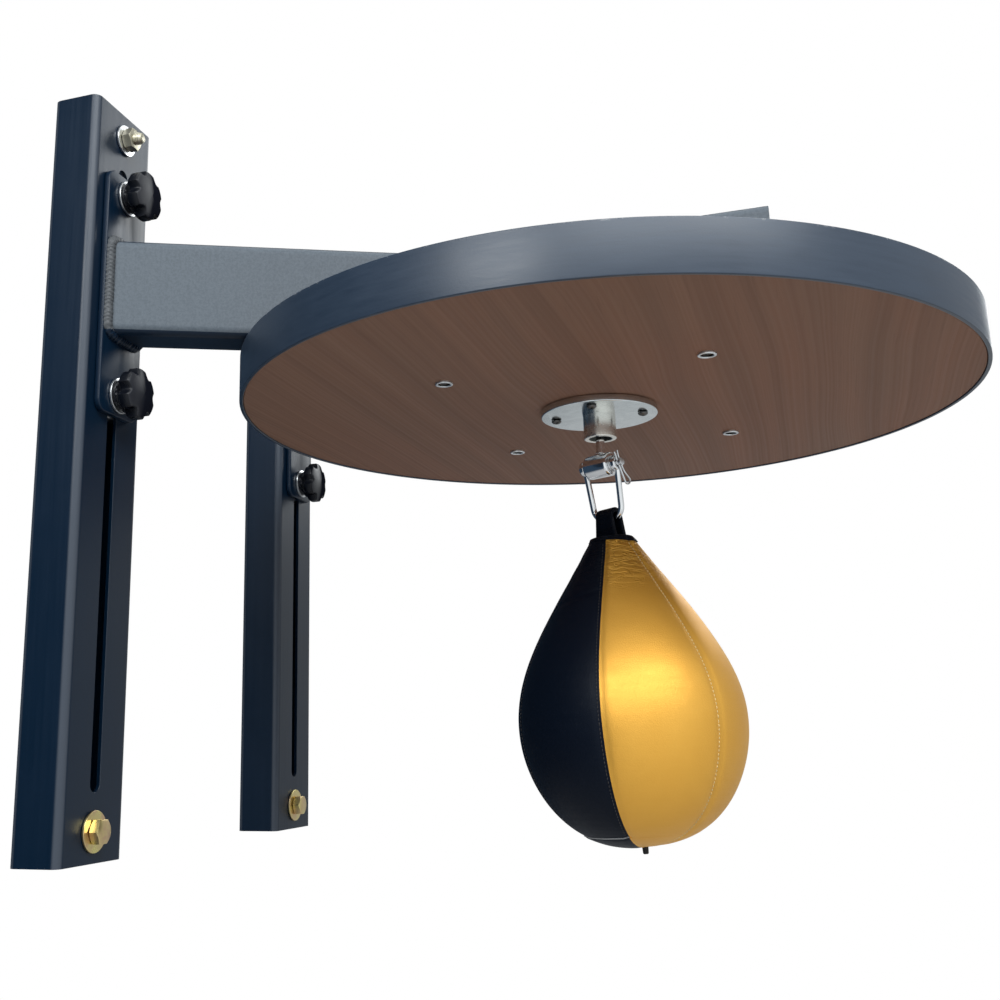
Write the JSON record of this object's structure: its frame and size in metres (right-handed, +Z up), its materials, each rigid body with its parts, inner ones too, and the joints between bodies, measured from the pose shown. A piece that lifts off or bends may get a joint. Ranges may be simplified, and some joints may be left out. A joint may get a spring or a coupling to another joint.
{
  "type": "speed bag platform",
  "caption": "Wall-mounted speed bag platform: a round rimmed board on toed-in tube arms slides along two slotted uprights, with a ball swivel and a teardrop bag below.",
  "frame": {"origin": "on the wall plane, midway between the uprights, at the height of their lower ends", "axes": "+X to the right along the wall as seen by a person facing it, +Y into the wall, +Z up; the platform stands out along -Y"},
  "size_m": [0.6, 0.6995, 0.6016],
  "materials": {
    "blue_black_paint": "satin powder coat",
    "zinc_plate": "bright zinc plate",
    "yellow_zinc": "yellow passivated zinc plate",
    "chrome": "polished",
    "black_plastic": "moulded",
    "brown_veneer": "satin veneer",
    "nylon": "moulded",
    "gold_leather": "metallic coated leather, the far half of the cover is black",
    "black_leather": "coated leather",
    "black_rubber": "moulded"
  },
  "bodies": {
    "wall_frame": {"upright_left": "blue_black_paint", "wall_stud_left": "zinc_plate", "wall_nut_left": "zinc_plate", "wall_washer_top_left": "zinc_plate", "wall_bolt_left": "yellow_zinc", "wall_washer_low_left": "yellow_zinc", "upright_right": "blue_black_paint", "wall_stud_right": "zinc_plate", "wall_nut_right": "zinc_plate", "wall_washer_top_right": "zinc_plate", "wall_bolt_right": "yellow_zinc", "wall_washer_low_right": "yellow_zinc"},
    "carriage": {"slide_plate_left": "blue_black_paint", "clamp_strip_left": "zinc_plate", "arm_left": "blue_black_paint", "knob_washer_upper_left": "zinc_plate", "knob_washer_lower_left": "zinc_plate", "slide_plate_right": "blue_black_paint", "clamp_strip_right": "zinc_plate", "arm_right": "blue_black_paint", "knob_washer_upper_right": "zinc_plate", "knob_washer_lower_right": "zinc_plate", "crossbar_rear": "blue_black_paint", "crossbar_front": "blue_black_paint", "board": "brown_veneer", "rim_band": "blue_black_paint", "board_bolt_1": "zinc_plate", "board_bolt_2": "zinc_plate", "board_bolt_3": "zinc_plate", "board_bolt_4": "zinc_plate", "board_nut_1": "zinc_plate", "board_nut_2": "zinc_plate", "board_nut_3": "zinc_plate", "board_nut_4": "zinc_plate", "swivel_flange": "zinc_plate", "swivel_barrel": "chrome", "flange_screw_1": "zinc_plate", "flange_screw_2": "zinc_plate", "flange_screw_3": "zinc_plate", "flange_screw_4": "zinc_plate"},
    "upper_left_knob": {"knob_upper_left": "black_plastic"},
    "lower_left_knob": {"knob_lower_left": "black_plastic"},
    "upper_right_knob": {"knob_upper_right": "black_plastic"},
    "lower_right_knob": {"knob_lower_right": "black_plastic"},
    "seat_ring": {"ball_seat": "nylon"},
    "stud": {"ball_stud": "chrome", "cross_barrel": "chrome"},
    "shackle_and_pin": {"shackle": "chrome", "clevis_pin": "zinc_plate", "pin_washer_near": "zinc_plate", "pin_washer_far": "zinc_plate", "hairpin_clip": "zinc_plate"},
    "bag": {"bag_cover": "gold_leather", "bladder": "black_rubber", "bag_collar": "black_leather", "foot_patch": "black_leather", "valve": "black_rubber", "hanging_loop": "black_leather"}
  },
  "joints": [
    {"name": "height_slide", "type": "slide", "parent": "wall_frame", "child": "carriage", "axis": [0, 0, 1], "range_m": [-0.295, 0.02]},
    {"name": "upper_left_knob_turn", "type": "hinge", "parent": "carriage", "child": "upper_left_knob", "pos_m": [-0.1785, -0.0499, 0.5235], "axis": [0, -1, 0], "continuous": true},
    {"name": "lower_left_knob_turn", "type": "hinge", "parent": "carriage", "child": "lower_left_knob", "pos_m": [-0.1785, -0.0499, 0.3535], "axis": [0, -1, 0], "continuous": true},
    {"name": "upper_right_knob_turn", "type": "hinge", "parent": "carriage", "child": "upper_right_knob", "pos_m": [0.1785, -0.0499, 0.5235], "axis": [0, -1, 0], "continuous": true},
    {"name": "lower_right_knob_turn", "type": "hinge", "parent": "carriage", "child": "lower_right_knob", "pos_m": [0.1785, -0.0499, 0.3535], "axis": [0, -1, 0], "continuous": true},
    {"name": "swivel_spin", "type": "hinge", "parent": "carriage", "child": "seat_ring", "pos_m": [0, -0.3995, 0.3388], "axis": [0, 0, 1], "continuous": true},
    {"name": "swivel_tilt", "type": "hinge", "parent": "seat_ring", "child": "stud", "pos_m": [0, -0.3995, 0.3388], "axis": [0.848, -0.5299, 0], "range_deg": [-14, 14]},
    {"name": "shackle_swing", "type": "hinge", "parent": "stud", "child": "shackle_and_pin", "pos_m": [0, -0.3995, 0.3038], "axis": [-0.5299, -0.848, 0], "range_deg": [-58, 58]},
    {"name": "bag_sway", "type": "hinge", "parent": "shackle_and_pin", "child": "bag", "pos_m": [0, -0.3995, 0.2588], "axis": [-0.5299, -0.848, 0], "range_deg": [-18, 18]}
  ]
}
